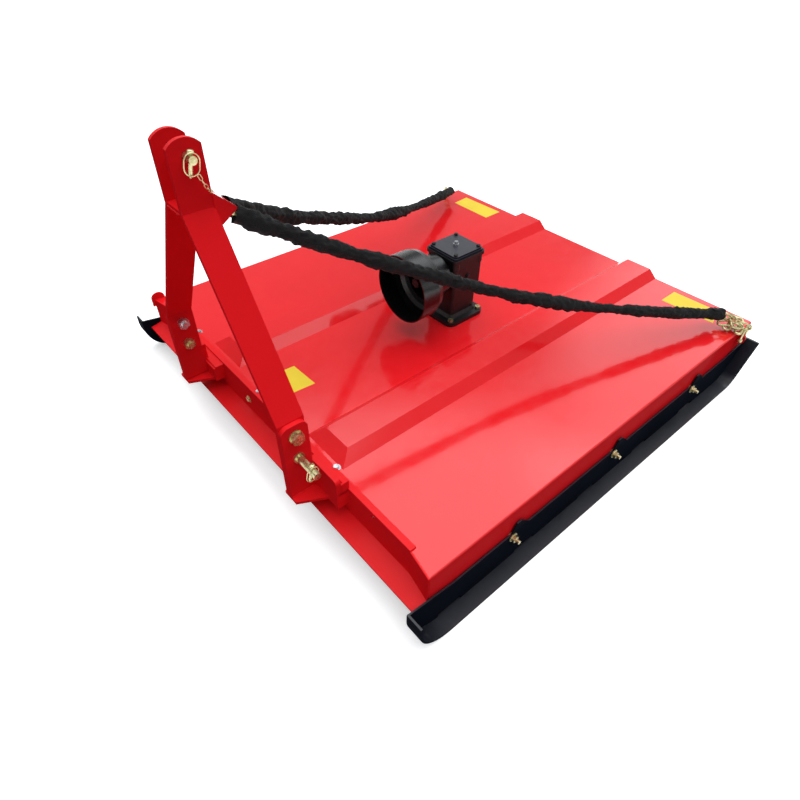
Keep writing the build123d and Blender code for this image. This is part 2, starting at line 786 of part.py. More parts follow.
# Gearbox housing, from its foot up: height, thickness, half width and corner of each block
flange_bottom = cover_bottom - flange_plate
gearbox_blocks = [
    (deck_top, base_plate, base_half, base_corner),
    (base_top, body_bottom - base_top, neck_half, neck_corner),
    (body_bottom, flange_bottom - body_bottom, body_half, body_corner),
    (flange_bottom, flange_plate, flange_half, flange_corner),
]
with BuildPart() as gearbox:
    for height, thickness, half, corner in gearbox_blocks:
        with BuildSketch(Plane.XY.offset(height)):
            with Locations((0, gearbox_place)):
                RectangleRounded(2 * half, 2 * half, corner)
        extrude(amount=thickness)
    for lift, growth in ((0, neck_flare), (neck_flare_height, 0)):
        with BuildSketch(Plane.XY.offset(base_top + lift)):
            with Locations((0, gearbox_place)):
                RectangleRounded(2 * (neck_half + growth), 2 * (neck_half + growth), neck_corner + growth)
    loft()
    with BuildSketch(Plane.XY.offset(flange_bottom - boss_height)):
        with Locations(*cover_bolts):
            Circle(boss_radius)
    extrude(amount=boss_height)
    for radius, reach in ((bearing_boss_radius, bearing_boss_end), (bearing_cap_radius, bearing_cap_end)):
        with BuildSketch(cross_plane(gearbox_place)):
            with Locations((0, shaft_height)):
                Circle(radius)
        extrude(amount=reach)
    with BuildSketch(cross_plane(gearbox_place)):
        with Locations((0, shaft_height)):
            Circle(pto_diameter / 2 + shaft_clearance)
    extrude(amount=bearing_cap_end, mode=Mode.SUBTRACT)
    with BuildSketch(Plane.XY.offset(deck_top)):
        with Locations((0, gearbox_place)):
            Circle(output_diameter / 2 + shaft_clearance)
    extrude(amount=output_rise + output_end_gap, mode=Mode.SUBTRACT)
    with BuildSketch(Plane.XY.offset(deck_top)):
        with Locations(*base_bolts):
            Circle(base_bolt_diameter / 2 + hole_clearance)
    extrude(amount=base_plate, mode=Mode.SUBTRACT)
save(gearbox.part, "gearbox")

with BuildPart() as gearbox_cover:
    for lift, half in ((0, cover_half), (cover_plate / 2, cover_half - cover_step)):
        with BuildSketch(Plane.XY.offset(cover_bottom + lift)):
            with Locations((0, gearbox_place)):
                RectangleRounded(2 * half, 2 * half, body_corner)
        extrude(amount=cover_plate / 2)
save(gearbox_cover.part, "gearbox_cover")

with BuildPart() as cover_screws:
    for x, y in cover_bolts:
        add(hexagon((x, y, cover_top), (x, y, cover_top + screw_head), screw_diameter))
save(cover_screws.part, "cover_screws")

with BuildPart() as breather_plug:
    plug_step = cover_top + plug_hexagon_height
    plug_end = plug_step + plug_cap_height
    add(hexagon((0, gearbox_place, cover_top), (0, gearbox_place, plug_step), plug_diameter))
    add(rod((0, gearbox_place, plug_step), (0, gearbox_place, plug_end), plug_cap_diameter))
save(breather_plug.part, "breather_plug")

with BuildPart() as gearbox_bolts:
    nut_top = deck_under - seat_plate
    for x, y in base_bolts:
        add(rod((x, y, nut_top - base_nut - base_bolt_spare), (x, y, base_top), base_bolt_diameter))
        add(hexagon((x, y, base_top), (x, y, base_top + base_bolt_head), base_bolt_diameter))
        add(hexagon((x, y, nut_top - base_nut), (x, y, nut_top), base_bolt_diameter))
save(gearbox_bolts.part, "gearbox_bolts")

# Shield: a stepped bell, open at the front, closed round the bearing's cap
with BuildPart() as pto_shield:
    with BuildSketch(Plane(origin=(0, gearbox_place, shaft_height), x_dir=(0, -1, 0), z_dir=(-1, 0, 0))):
        with BuildLine():
            Polyline(
                *shield_corners,
                (bearing_boss_end, shield_neck_radius),
                (bearing_boss_end, bearing_cap_radius + shield_clearance),
            )
            offset(amount=shield_wall, side=Side.LEFT, kind=Kind.INTERSECTION)
        make_face()
    revolve(axis=Axis((0, gearbox_place, shaft_height), (0, 1, 0)), revolution_arc=360)
save(pto_shield.part, "pto_shield")

# Input shaft with its splines
with BuildPart() as pto_shaft:
    add(rod((0, gearbox_place - pto_inner_end, shaft_height), (0, gearbox_place - pto_tip_reach, shaft_height),
            pto_diameter))
    with BuildSketch(cross_plane(gearbox_place - bearing_cap_end - spline_gap)):
        with Locations((0, shaft_height)):
            with PolarLocations(pto_diameter / 2, spline_count):
                Rectangle(2 * spline_depth, spline_groove)
    extrude(amount=pto_tip_reach, mode=Mode.SUBTRACT)
save(pto_shaft.part, "pto_shaft")

# Rotor: output shaft, hub and carrier bar with the blades' pivots
with BuildPart() as rotor_shaft:
    hub_top = deck_under - seat_plate - hub_gap
    add(rod((0, gearbox_place, carrier_top), (0, gearbox_place, deck_top + output_rise), output_diameter))
    add(rod((0, gearbox_place, carrier_top), (0, gearbox_place, hub_top), 2 * hub_radius))
save(rotor_shaft.part, "rotor_shaft")

with BuildPart() as blade_carrier:
    with BuildSketch(Plane.XY.offset(carrier_bottom)):
        with Locations((0, gearbox_place)):
            SlotOverall(2 * (pivot_radius + carrier_half_width), 2 * carrier_half_width)
            Circle(carrier_disc_radius)
        with Locations((-pivot_radius, gearbox_place), (pivot_radius, gearbox_place)):
            Circle(pivot_diameter / 2 + hole_clearance, mode=Mode.SUBTRACT)
    extrude(amount=carrier_plate)
save(blade_carrier.part, "blade_carrier")

for index, side in ((1, 1), (2, -1)):
    def at_pivot(height):
        """A point on this blade's pivot."""
        return (side * pivot_radius, gearbox_place, height)

    head_top = blade_bottom - blade_gap
    with BuildPart() as pivot:
        add(rod(at_pivot(head_top), at_pivot(carrier_top), pivot_diameter))
        add(rod(at_pivot(head_top - pivot_head), at_pivot(head_top), pivot_head_diameter))
        add(hexagon(at_pivot(carrier_top), at_pivot(carrier_top + pivot_nut), pivot_diameter))
    save(pivot.part, "blade_pivot_" + str(index))

    with BuildPart() as blade:
        with BuildSketch(Plane.XY.offset(blade_bottom)):
            with Locations((side * (pivot_radius + (blade_reach - blade_heel) / 2), gearbox_place)):
                Rectangle(blade_reach + blade_heel, 2 * blade_half_width)
        extrude(amount=blade_plate)
        top_edges = blade.edges().group_by(Axis.Z)[-1].filter_by(Axis.X).sort_by(Axis.Y)
        chamfer(top_edges[-1] if side > 0 else top_edges[0], blade_bevel)
        add(rod(at_pivot(blade_bottom), at_pivot(blade_top), pivot_diameter + 2 * pivot_clearance),
            mode=Mode.SUBTRACT)
    save(blade.part, "blade_" + str(index))

# Chain lugs and shackles on the side walls near the rear corners
shackle_leg = (shackle_inside + shackle_bar) / 2
bow_middle = shackle_top + shackle_bar / 2 - shackle_leg
for label, side in SIDES:
    with BuildPart() as lug:
        with BuildSketch(cross_plane(lug_place + lug_plate / 2)) as outline:
            with Locations((side * (deck_half_width + lug_reach / 2), shackle_foot)):
                Rectangle(lug_reach, lug_tall)
            fillet(outline.vertices().group_by(Axis.X)[-1 if side > 0 else 0], lug_round)
            with Locations((side * shackle_x, shackle_foot)):
                Circle(shackle_pin / 2 + hole_clearance, mode=Mode.SUBTRACT)
        extrude(amount=lug_plate)
    save(lug.part, "chain_lug_" + label)

    shackle_lines = []
    for reach in (shackle_leg + shackle_bar / 2, shackle_leg - shackle_bar / 2):
        bend = bend_corners(0, reach, flat_step / 2, 4)
        shackle_lines.append([(reach, shackle_foot - bow_middle), *bend, (-reach, shackle_foot - bow_middle)])
    pin_half = shackle_leg + shackle_bar / 2 + shackle_pin_spare
    bow_plane = Plane(origin=(side * shackle_x, lug_place, bow_middle), x_dir=(0, 1, 0), z_dir=(1, 0, 0))

    def at_shackle(y):
        """A point on this shackle's pin."""
        return (side * shackle_x, lug_place + y, shackle_foot)

    with BuildPart() as shackle:
        add(bent_bar(bow_plane, shackle_lines[0], shackle_lines[1], shackle_bar))
        add(rod(at_shackle(-pin_half), at_shackle(pin_half), shackle_pin))
        for middle in (-shackle_leg, shackle_leg):
            add(rod(at_shackle(middle - shackle_bar / 2), at_shackle(middle + shackle_bar / 2), shackle_eye))
    save(shackle.part, "chain_shackle_" + label)

# Chains on each side: bare links at both ends, and a sleeve whose mouths end at the last links
link_pitch = chain_link_inside - chain_gap
link_straight = (chain_link_inside - chain_link_width) / 2
link_bend = (chain_link_width + chain_wire) / 2
link_outside = chain_link_inside + chain_wire
for label, side in SIDES:
    pin = Vector(side * chain_pin_place, hood_pin_y, hood_pin_height)
    bow = Vector(side * shackle_x, lug_place, shackle_top + shackle_bar / 2)
    route = [Vector(side * x, y, z) for x, y, z in sleeve_points]
    top_axis = (route[1] - route[0]).normalized()
    foot_axis = (route[-2] - route[-1]).normalized()
    rise = (route[-1] - foot_axis * foot_outset - bow).normalized()
    top_first = pin - top_axis * (hood_pin_diameter / 2 + 2 * chain_gap)
    top_last = top_first + top_axis * link_pitch * (top_links - 1)
    foot_first = bow - rise * (shackle_bar / 2 + shackle_slack)
    foot_last = foot_first + rise * link_pitch * foot_links
    # Rows of links: inner end of the first, direction, width's direction and number of links
    rows = [
        (top_first, top_axis, top_axis.cross(Vector(1, 0, 0)), top_links),
        (foot_first, rise, rise.cross(Vector(0, 1, 0)), foot_links),
        (foot_last, foot_axis, rise.cross(Vector(0, 0, 1)), 1),
    ]
    with BuildPart() as chain:
        for first, along, across, count in rows:
            across = (across - along * across.dot(along)).normalized()
            for i in range(count):
                # Every other link is turned by a quarter
                normal = along.cross(across) if i % 2 == 0 else across
                centre = first + along * (link_pitch * i + chain_link_inside / 2)
                link_plane = Plane(origin=centre, x_dir=along, z_dir=normal)
                add(oval_ring(link_plane, link_straight, link_bend, chain_wire))
    save(chain.part, "chain_links_" + label)

    runs = [b - a for a, b in zip(route, route[1:])]
    radii = []
    for before, after in zip(runs, runs[1:]):
        half_turn = radians(before.get_angle(after)) / 2
        radii.append(bend_share * min(before.length, after.length) / tan(half_turn))
    print("sleeve", label, "radii", [round(radius) for radius in radii])
    # Mouths: sleeve's end, direction inwards and the last link's inner end
    mouths = [(route[0], top_axis, top_last), (route[-1], foot_axis, foot_last)]
    with BuildPart() as sleeve:
        with BuildLine():
            FilletPolyline(*route, radius=radii)
        with BuildSketch(Plane(origin=route[0], z_dir=top_axis)):
            Circle(sleeve_diameter / 2)
        sweep()
        for end, inwards, last in mouths:
            with BuildSketch(Plane(origin=end, z_dir=inwards)):
                Circle(sleeve_diameter / 2 - sleeve_wall)
            extrude(amount=(last - end).dot(inwards) + link_outside, mode=Mode.SUBTRACT)
    save(sleeve.part, "chain_sleeve_" + label)
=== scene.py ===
import json
import math

import bmesh
import bpy
from mathutils import Matrix, Vector, noise


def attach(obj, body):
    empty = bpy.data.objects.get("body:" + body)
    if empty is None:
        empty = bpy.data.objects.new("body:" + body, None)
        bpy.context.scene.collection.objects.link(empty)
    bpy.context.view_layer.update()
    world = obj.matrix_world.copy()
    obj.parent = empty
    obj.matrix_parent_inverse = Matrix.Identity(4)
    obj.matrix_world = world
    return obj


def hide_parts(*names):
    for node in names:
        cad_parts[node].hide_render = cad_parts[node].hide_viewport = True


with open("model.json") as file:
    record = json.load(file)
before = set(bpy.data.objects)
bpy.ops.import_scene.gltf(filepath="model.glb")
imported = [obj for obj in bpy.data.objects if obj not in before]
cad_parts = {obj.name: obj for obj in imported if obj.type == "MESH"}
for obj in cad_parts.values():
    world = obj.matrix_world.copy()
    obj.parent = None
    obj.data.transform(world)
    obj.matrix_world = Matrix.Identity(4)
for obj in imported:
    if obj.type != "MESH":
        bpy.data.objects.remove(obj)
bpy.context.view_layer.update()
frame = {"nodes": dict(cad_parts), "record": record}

# Lengths are in metres and places in the CAD model's frame. +X is the right side, -Y the hitch, +Z up.
SIDES = (("right", 1), ("left", -1))
X_AXIS, Y_AXIS, Z_AXIS = Vector((1, 0, 0)), Vector((0, 1, 0)), Vector((0, 0, 1))
DECK_TOP = 0.227


def camera():
    """The photograph's camera: its place, yaw, pitch and roll, with the lens for an 800 x 800 frame."""
    place = (1.280, -1.326, 1.4705)
    yaw, pitch, roll = math.radians(48.711), math.radians(42.667), math.radians(0.973)
    back = Vector((math.sin(yaw) * math.cos(pitch), -math.cos(yaw) * math.cos(pitch), math.sin(pitch)))
    right = Vector((math.cos(yaw), math.sin(yaw), 0))
    up = right.cross(-back)
    x_axis = math.cos(roll) * right + math.sin(roll) * up
    y_axis = -math.sin(roll) * right + math.cos(roll) * up
    data = bpy.data.cameras.new("camera")
    data.sensor_width, data.lens = 36, 25.784
    data.clip_end = 60
    cam = bpy.data.objects.new("camera", data)
    turn = Matrix((x_axis, y_axis, back)).transposed()
    cam.matrix_world = Matrix.Translation(place) @ turn.to_4x4()
    bpy.context.scene.collection.objects.link(cam)
    bpy.context.scene.camera = cam


# ---- shapes

def mesh_object(name, bm, smooth=None):
    """A new object from a bmesh; smooth is the angle in degrees below which edges are shaded smooth."""
    mesh = bpy.data.meshes.new(name)
    bm.to_mesh(mesh)
    bm.free()
    obj = bpy.data.objects.new(name, mesh)
    bpy.context.scene.collection.objects.link(obj)
    if smooth is not None:
        mesh.shade_smooth()
        mesh.set_sharp_from_angle(angle=math.radians(smooth))
    return obj


def piece(name, bm, material, nodes=(), smooth=40):
    """A finished piece on the frame body, with its material and the CAD nodes that it stands for."""
    bmesh.ops.recalc_face_normals(bm, faces=bm.faces)
    obj = mesh_object(name, bm, smooth)
    obj.data.materials.append(material)
    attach(obj, "frame")
    if nodes:
        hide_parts(*nodes)
    return obj


def join_rings(bm, a, b):
    """The wall of faces between two rings of as many vertices."""
    for k in range(len(a)):
        n = (k + 1) % len(a)
        bm.faces.new((a[k], a[n], b[n], b[k]))


def round_ring(bm, centre, radius, lift, wide, sides):
    """A round ring of vertices in the plane of two directions."""
    turns = [2 * math.pi * k / sides for k in range(sides)]
    return [bm.verts.new(centre + radius * (math.cos(a) * lift + math.sin(a) * wide)) for a in turns]


def prism(bm, low, high):
    """A solid between two outlines of as many points."""
    low = [bm.verts.new(point) for point in low]
    high = [bm.verts.new(point) for point in high]
    bm.faces.new(low)
    bm.faces.new(high)
    join_rings(bm, low, high)


def tube(bm, path, radius, sides, closed=False):
    """A round bar along a path; radius is one value or one for each point."""
    count = len(path)
    radii = radius if isinstance(radius, list) else [radius] * count
    rings = []
    lift = None
    for i, centre in enumerate(path):
        before = path[i - 1] if i or closed else centre
        after = path[(i + 1) % count] if i < count - 1 or closed else centre
        ahead = (after - before).normalized()
        lift = ahead.orthogonal() if lift is None else lift - ahead * lift.dot(ahead)
        lift.normalize()
        rings.append(round_ring(bm, centre, radii[i], lift, ahead.cross(lift), sides))
    for a, b in zip(rings, rings[1:] + (rings[:1] if closed else [])):
        join_rings(bm, a, b)
    if not closed:
        bm.faces.new(rings[0])
        bm.faces.new(rings[-1])


def oval(centre, along, across, straight, bend, steps=9):
    """Points of a closed oval: two straight runs and two half rounds."""
    points = []
    for sign, base in ((1, -90), (-1, 90)):
        for k in range(steps + 1):
            a = math.radians(base + 180 * k / steps)
            points.append(centre + along * (sign * straight + bend * math.cos(a)) + across * bend * math.sin(a))
    return points


def turned(bm, base, axis, profile, sides=24):
    """A turned solid on an axis from (distance, radius) pairs; 6 sides make a hexagon."""
    axis = axis.normalized()
    lift = axis.orthogonal().normalized()
    wide = axis.cross(lift)
    rings = [round_ring(bm, base + axis * distance, radius, lift, wide, sides) for distance, radius in profile]
    for a, b in zip(rings, rings[1:]):
        join_rings(bm, a, b)
    bm.faces.new(rings[0])
    bm.faces.new(rings[-1])


def bolt_head(bm, base, axis, across, height):
    """A washer with a hexagon head on it, its corners bevelled; across is the width over the flats."""
    washer, washer_radius = 0.0018, across * 0.86
    corner = across / math.sqrt(3)
    turned(bm, base, axis, [(0, washer_radius), (washer, washer_radius)])
    turned(bm, base, axis, [(washer, corner), (height * 0.86, corner), (height, corner * 0.88)], sides=6)


WELD_RADIUS = 0.0030
WELD_STEP = 0.0016
WELD_RIPPLE = 0.0055
WELD_DRIFT = 0.0007
DRIFT_SHIFTS = [Vector(shift) for shift in ((1.7, 5.2, 9.1), (3.9, 8.4, 2.6), (7.3, 0.8, 6.5))]


def weld(bm, a, b):
    """A weld bead from one point to another: rippled, never quite straight, and thin at both ends."""
    a, b = Vector(a), Vector(b)
    length = (b - a).length
    count = max(8, int(length / WELD_STEP))
    path = []
    radii = []
    for i in range(count + 1):
        run = length * i / count
        # One noise for each axis, because Blender seeds its own noise vector from the clock
        place = a * 40 + X_AXIS * (run * 60)
        drift = Vector([noise.noise(place + shift) for shift in DRIFT_SHIFTS]) * WELD_DRIFT
        path.append(a.lerp(b, i / count) + drift)
        ripple = 0.35 * abs(math.sin(math.pi * run / WELD_RIPPLE))
        uneven = 0.3 * noise.noise(a * 30 + Y_AXIS * (run * 90))
        taper = min(1.0, 0.45 + 14 * min(i, count - i) / count)
        radii.append(WELD_RADIUS * (0.72 + ripple + uneven) * taper)
    tube(bm, path, radii, sides=8)


# ---- materials

# The Mix node's sockets for colours, which share their names with those for numbers
MIX_A, MIX_B, MIX_RESULT = 6, 7, 2


def node_tree(name):
    """A new node material; returns it with its tree and its shader."""
    mat = bpy.data.materials.new(name)
    mat.use_nodes = True
    tree = mat.node_tree
    return mat, tree, tree.nodes["Principled BSDF"]


def speckle(tree, scale, detail, rough, stretch=None, direction=None):
    """A noise texture's value, in object coordinates unless a direction is given."""
    place = direction or tree.nodes.new("ShaderNodeTexCoord").outputs["Object"]
    tex = tree.nodes.new("ShaderNodeTexNoise")
    tex.inputs["Scale"].default_value = scale
    tex.inputs["Detail"].default_value = detail
    tex.inputs["Roughness"].default_value = rough
    if stretch:
        mapping = tree.nodes.new("ShaderNodeMapping")
        mapping.inputs["Scale"].default_value = stretch
        tree.links.new(place, mapping.inputs["Vector"])
        place = mapping.outputs["Vector"]
    tree.links.new(place, tex.inputs["Vector"])
    return tex.outputs["Fac"]


def ramp(tree, source, dark, light, start=0.3, end=0.7):
    """A colour from dark to light while a value runs from start to end."""
    node = tree.nodes.new("ShaderNodeValToRGB")
    for stop, place, colour in zip(node.color_ramp.elements, (start, end), (dark, light)):
        stop.position = place
        stop.color = (*colour, 1)
    tree.links.new(source, node.inputs["Fac"])
    return node.outputs["Color"]


def span(tree, source, low, high, start=0.0, end=1.0, smooth=False):
    """A value mapped from start..end to low..high."""
    node = tree.nodes.new("ShaderNodeMapRange")
    if smooth:
        node.interpolation_type = "SMOOTHSTEP"
    node.inputs["From Min"].default_value = start
    node.inputs["From Max"].default_value = end
    node.inputs["To Min"].default_value = low
    node.inputs["To Max"].default_value = high
    tree.links.new(source, node.inputs["Value"])
    return node.outputs["Result"]


def combined(tree, operation, first, *others):
    """Values combined one after the other by a Math operation; each is a socket or a number."""
    for other in others:
        node = tree.nodes.new("ShaderNodeMath")
        node.operation = operation
        for socket, value in zip(node.inputs, (first, other)):
            if isinstance(value, (int, float)):
                socket.default_value = value
            else:
                tree.links.new(value, socket)
        first = node.outputs["Value"]
    return first


def mixed(tree, factor, a, b):
    """A colour between two colour sockets or colours."""
    node = tree.nodes.new("ShaderNodeMix")
    node.data_type = "RGBA"
    tree.links.new(factor, node.inputs["Factor"])
    for socket, value in ((node.inputs[MIX_A], a), (node.inputs[MIX_B], b)):
        if isinstance(value, tuple):
            socket.default_value = (*value, 1)
        else:
            tree.links.new(value, socket)
    return node.outputs[MIX_RESULT]


def bump(tree, shader, source, strength, distance, under=None):
    """A bump into the shader's normal; under is a bump that it adds to."""
    node = tree.nodes.new("ShaderNodeBump")
    node.inputs["Strength"].default_value = strength
    node.inputs["Distance"].default_value = distance
    tree.links.new(source, node.inputs["Height"])
    if under:
        tree.links.new(under.outputs["Normal"], node.inputs["Normal"])
    tree.links.new(node.outputs["Normal"], shader.inputs["Normal"])
    return node


def linear(r, g, b):
    """A colour given as it shows on screen, 0 to 255, as the shader's linear values."""
    return tuple(((c / 255 + 0.055) / 1.055) ** 2.4 if c > 10 else c / 255 / 12.92 for c in (r, g, b))


def paint(name, dark, light, roughness, coat, peel, shine=0.5):
    """Sprayed gloss paint: slow changes of tone, fine scuffs, dust and an orange-peel surface, with painted shade:
    upright faces reflect less.
    """
    mat, tree, shader = node_tree(name)
    tone = ramp(tree, speckle(tree, scale=2.4, detail=4, rough=0.55), dark, light)
    scuffs = speckle(tree, scale=46, detail=8, rough=0.72, stretch=(1, 0.35, 1))
    worn = span(tree, scuffs, 0.0, 0.35, start=0.66, end=0.78)
    pale = tuple(min(1.0, 0.75 * c + 0.10) for c in light)
    tree.links.new(mixed(tree, worn, tone, pale), shader.inputs["Base Color"])
    dust = span(tree, speckle(tree, scale=38, detail=6, rough=0.7), *roughness, start=0.35, end=0.7)
    scraped = combined(tree, "MULTIPLY", worn, 0.5)
    tree.links.new(combined(tree, "ADD", dust, scraped), shader.inputs["Roughness"])
    # Painted shade: upright faces get less coat, specular level and IOR, so they shine less and look darker
    painted_shade_normal = tree.nodes.new("ShaderNodeNewGeometry")
    parts = tree.nodes.new("ShaderNodeSeparateXYZ")
    tree.links.new(painted_shade_normal.outputs["Normal"], parts.inputs["Vector"])
    level = span(tree, parts.outputs["Z"], 0.03, 1.0, start=0.25, end=0.85)
    tree.links.new(combined(tree, "MULTIPLY", level, coat), shader.inputs["Coat Weight"])
    tree.links.new(combined(tree, "MULTIPLY", level, shine), shader.inputs["Specular IOR Level"])
    tree.links.new(span(tree, level, 1.06, 1.45, start=0.03, end=1.0), shader.inputs["IOR"])
    shader.inputs["Coat Roughness"].default_value = 0.05
    waves = speckle(tree, scale=7, detail=2, rough=0.4)
    skin = speckle(tree, scale=330, detail=2, rough=0.5)
    first = bump(tree, shader, waves, strength=0.10, distance=0.01)
    bump(tree, shader, skin, strength=peel, distance=0.0006, under=first)
    return mat


def metal(name, dark, light, roughness, patch_scale=90):
    """Plated or bright steel with patches of tone and a fine grain."""
    mat, tree, shader = node_tree(name)
    patches = speckle(tree, patch_scale, detail=3, rough=0.6)
    tree.links.new(ramp(tree, patches, dark, light, start=0.32, end=0.68), shader.inputs["Base Color"])
    shader.inputs["Metallic"].default_value = 0.9
    grain = speckle(tree, scale=420, detail=3, rough=0.6)
    tree.links.new(span(tree, grain, *roughness, start=0.3, end=0.7), shader.inputs["Roughness"])
    bump(tree, shader, grain, strength=0.15, distance=0.0003)
    return mat


def casting(name, dark, light):
    """Painted cast iron: a sandy skin under satin paint."""
    mat, tree, shader = node_tree(name)
    broad = speckle(tree, scale=14, detail=4, rough=0.6)
    tree.links.new(ramp(tree, broad, dark, light), shader.inputs["Base Color"])
    shader.inputs["Specular IOR Level"].default_value = 0.3
    shader.inputs["Coat Weight"].default_value = 0.12
    shader.inputs["Coat Roughness"].default_value = 0.3
    sand = speckle(tree, scale=190, detail=5, rough=0.65)
    lumps = speckle(tree, scale=34, detail=3, rough=0.5)
    tree.links.new(span(tree, sand, 0.34, 0.56, start=0.3, end=0.7), shader.inputs["Roughness"])
    first = bump(tree, shader, lumps, strength=0.3, distance=0.004)
    bump(tree, shader, sand, strength=0.55, distance=0.0011, under=first)
    return mat


def plastic(name, dark, light, roughness):
    """Moulded plastic with a fine grain."""
    mat, tree, shader = node_tree(name)
    broad = speckle(tree, scale=9, detail=3, rough=0.5)
    tree.links.new(ramp(tree, broad, dark, light), shader.inputs["Base Color"])
    grain = speckle(tree, scale=900, detail=2, rough=0.5)
    tree.links.new(span(tree, grain, *roughness, start=0.3, end=0.7), shader.inputs["Roughness"])
    bump(tree, shader, grain, strength=0.25, distance=0.0003)
    return mat


def woven(name, dark, light):
    """Woven sleeve: diagonal ribs from two crossed waves, dull with a faint sheen."""
    mat, tree, shader = node_tree(name)
    uv = tree.nodes.new("ShaderNodeUVMap")
    uv.uv_map = "UVMap"
    waves = []
    for turn in (45, -45):
        mapping = tree.nodes.new("ShaderNodeMapping")
        mapping.inputs["Rotation"].default_value = (0, 0, math.radians(turn))
        wave = tree.nodes.new("ShaderNodeTexWave")
        wave.inputs["Scale"].default_value = 1.0
        tree.links.new(uv.outputs["UV"], mapping.inputs["Vector"])
        tree.links.new(mapping.outputs["Vector"], wave.inputs["Vector"])
        waves.append(wave.outputs["Fac"])
    ribs = combined(tree, "MAXIMUM", *waves)
    tree.links.new(ramp(tree, ribs, dark, light, start=0.2, end=0.95), shader.inputs["Base Color"])
    shader.inputs["Specular IOR Level"].default_value = 0.2
    shader.inputs["Sheen Weight"].default_value = 0.03
    shader.inputs["Sheen Roughness"].default_value = 0.4
    fluff = speckle(tree, scale=260, detail=3, rough=0.6)
    tree.links.new(span(tree, fluff, 0.62, 0.86), shader.inputs["Roughness"])
    bump(tree, shader, ribs, strength=0.8, distance=0.0012)
    return mat


RED = paint("red_paint", linear(228, 26, 32), linear(237, 30, 37), (0.08, 0.22), coat=0.38, peel=0.10)
FRAME_RED = paint(
    "frame_red_paint", linear(226, 24, 30), linear(236, 28, 35), (0.34, 0.48), coat=0.02, peel=0.14, shine=0.15,
)
BLACK = paint("black_paint", linear(15, 18, 26), linear(23, 27, 37), (0.36, 0.52), coat=0.22, peel=0.25)
# Black cover paint whose base colour is lighter and bluer than the other black paint: painted sky reflection, on top
# of the coat's own reflection
COVER_BLACK_AND_PAINTED_REFLECTION = paint("cover_black_and_painted_reflection", linear(40, 40, 50), linear(52, 52, 62), (0.30, 0.44), coat=0.7, peel=0.3)
CAST = casting("gearbox_black", linear(5, 5, 7), linear(11, 11, 14))
ZINC = metal("yellow_zinc", linear(164, 154, 108), linear(222, 214, 168), (0.18, 0.36))
SILVER = metal("bright_steel", linear(170, 172, 176), linear(214, 216, 220), (0.18, 0.36))
STEEL = metal("bare_steel", linear(96, 94, 92), linear(150, 148, 146), (0.3, 0.55), patch_scale=40)
OILED = metal("oiled_steel", linear(30, 29, 28), linear(62, 60, 58), (0.25, 0.5), patch_scale=60)
PLASTIC = plastic("shield_plastic", linear(4, 4, 6), linear(9, 9, 12), (0.20, 0.32))
SLEEVE = woven("sleeve_weave", linear(2, 2, 3), linear(10, 10, 12))
YELLOW = plastic("sticker_yellow", linear(228, 196, 16), linear(236, 206, 30), (0.40, 0.52))

# ---- the CAD nodes: each has the material of its slot, apart from those named here

SLOT_LOOK = {
    "red_paint": RED, "black_paint": BLACK, "gearbox_black": CAST, "zinc": ZINC,
    "steel": STEEL, "black_plastic": PLASTIC, "sleeve": SLEEVE,
}
NODE_LOOK = {
    "gearbox_cover": COVER_BLACK_AND_PAINTED_REFLECTION, "cover_screws": CAST, "breather_plug": SILVER, "mast_bolt_left": SILVER,
    "pto_shaft": OILED, "front_beam": FRAME_RED, "mast_bar_right": FRAME_RED, "mast_bar_left": FRAME_RED,
    "mast_spacer": FRAME_RED, "hitch_bracket_right": FRAME_RED, "hitch_bracket_left": FRAME_RED,
}
# Sheet, plate and cast edges: width of the rounded edge
EDGE_WIDTH = {
    "deck": 0.0012, "front_beam": 0.0014, "hitch_bracket_right": 0.0014, "hitch_bracket_left": 0.0014,
    "mast_bar_right": 0.0016, "mast_bar_left": 0.0016, "mast_spacer": 0.0012, "chain_bracket": 0.0012,
    "skid_right": 0.0012, "skid_left": 0.0012, "gearbox": 0.003, "gearbox_cover": 0.0014,
    "chain_lug_right": 0.001, "chain_lug_left": 0.001, "blade_1": 0.0006, "blade_2": 0.0006,
    "blade_carrier": 0.0014, "gearbox_seat": 0.001, "gearbox_bolts": 0.0006, "skid_bolts_right": 0.0006,
    "skid_bolts_left": 0.0006, "mast_bolt_right": 0.001, "mast_bolt_left": 0.001, "cover_screws": 0.0006,
    "breather_plug": 0.0006, "hitch_pin_right": 0.001, "hitch_pin_left": 0.001, "top_link_pin": 0.001,
    "pto_shield": 0.0012, "cross_channel_front": 0.001, "cross_channel_rear": 0.001,
}
FLAT_ANGLE = math.radians(0.6)    # faces that lie flatter than this become one before the edges are rounded
ROUND_ANGLE = math.radians(34)    # edges sharper than this are rounded
SHARP_ANGLE = math.radians(32)    # and on the other nodes edges sharper than this are shaded sharp

slots = {s["node"]: s["material_slot"] for s in frame["record"]["subparts"]}
for name, obj in frame["nodes"].items():
    obj.data.materials.clear()
    obj.data.materials.append(NODE_LOOK.get(name, SLOT_LOOK[slots[name]]))
    obj.data.shade_smooth()
    if name in EDGE_WIDTH:
        flat = obj.modifiers.new("flat", "DECIMATE")
        flat.decimate_type = "DISSOLVE"
        flat.angle_limit = FLAT_ANGLE
        edge = obj.modifiers.new("edge", "BEVEL")
        edge.width = EDGE_WIDTH[name]
        edge.segments = 2
        edge.limit_method = "ANGLE"
        edge.angle_limit = ROUND_ANGLE
        edge.harden_normals = True
    else:
        obj.data.set_sharp_from_angle(angle=SHARP_ANGLE)

camera()

# ---- sleeves of the stay chains

# The centre line's control points on the right side, from the hood behind the mast to the shackle
ROUTE = [
    (0.027, -0.765, 0.862),
    (0.119, -0.560, 0.743),
    (0.222, -0.333, 0.635),
    (0.371, -0.007, 0.484),
    (0.560, 0.405, 0.356),
    (0.714, 0.744, 0.281),
]
